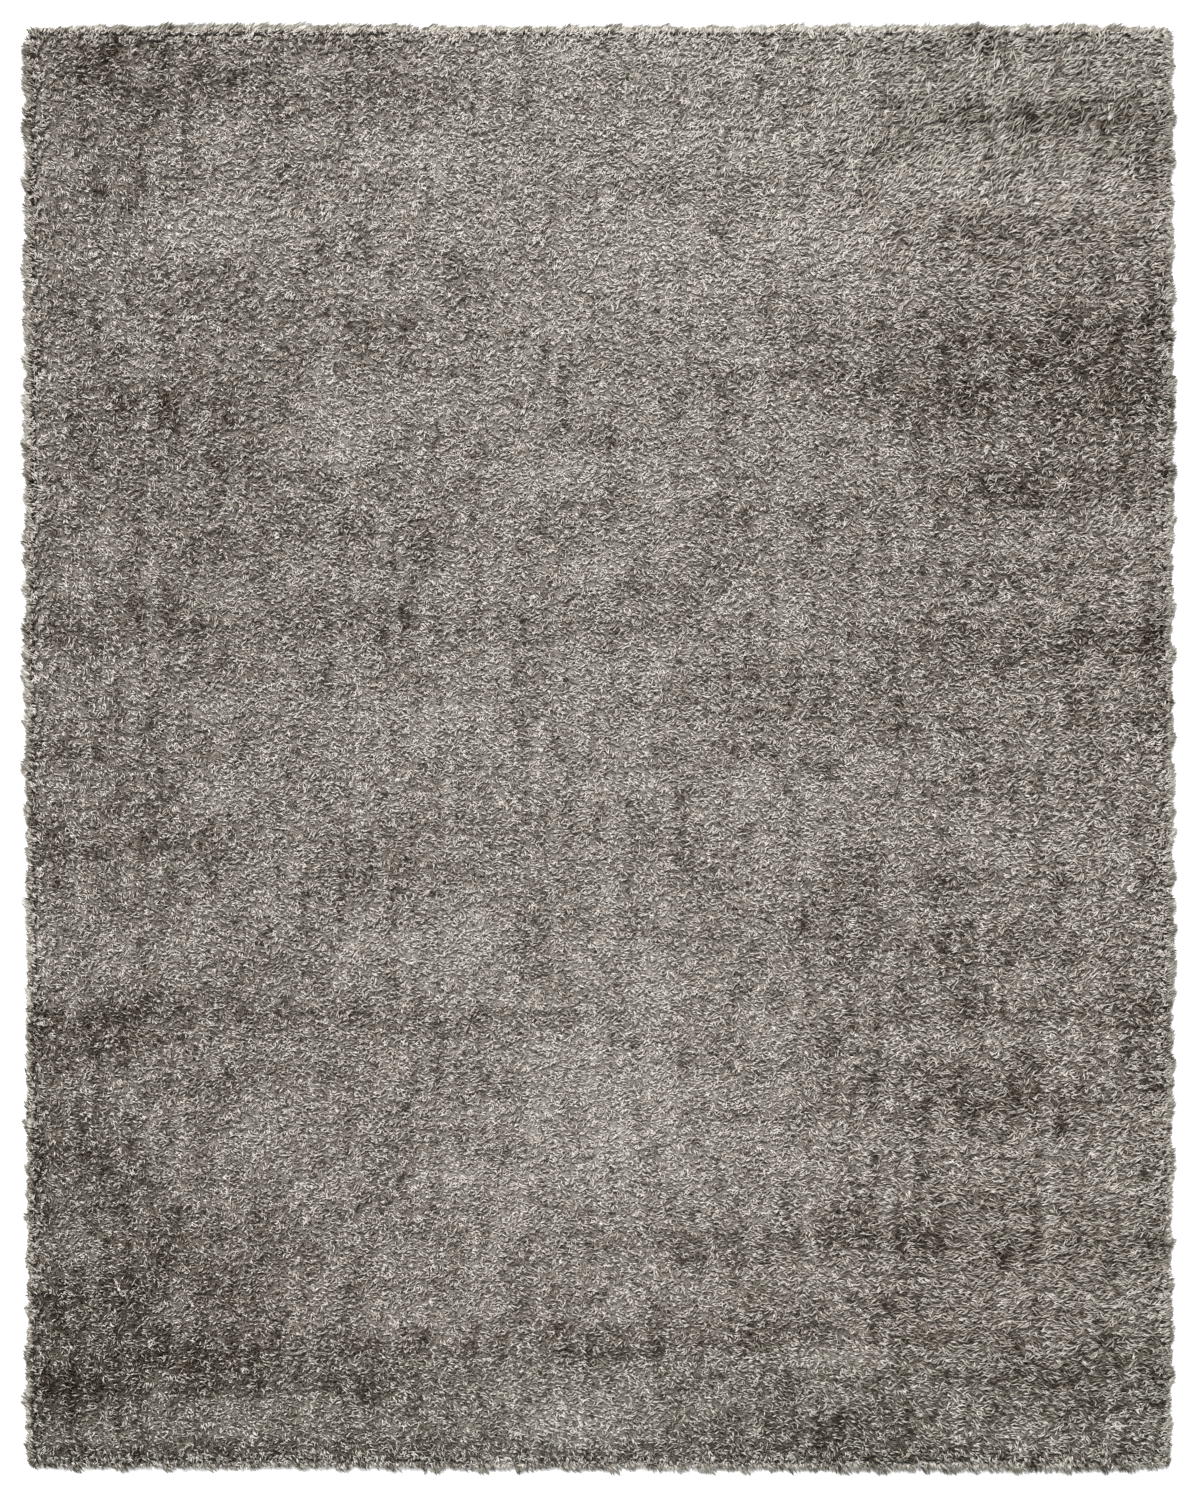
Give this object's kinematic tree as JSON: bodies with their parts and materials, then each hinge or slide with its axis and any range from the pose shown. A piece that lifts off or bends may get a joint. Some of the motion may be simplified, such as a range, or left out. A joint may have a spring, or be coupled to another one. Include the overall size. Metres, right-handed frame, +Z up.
{
  "type": "shag rug",
  "caption": "Rectangular room-size shag rug lying flat, with a lumpy leaning pile and locks of pile drooping over its uneven rim.",
  "frame": {"origin": "on the floor, under the middle of the rug's bounding box", "axes": "+X across the rug, to the right as it is seen from above; +Y along its length, away from the near end; +Z up out of the pile"},
  "size_m": [2.4614, 3.09, 0.0405],
  "materials": {
    "pile": "long soft pile of warm grey yarn, matt, lighter where it lies flat and darker between its locks"
  },
  "bodies": {
    "root": {"shag_rug": "pile"}
  },
  "joints": []
}
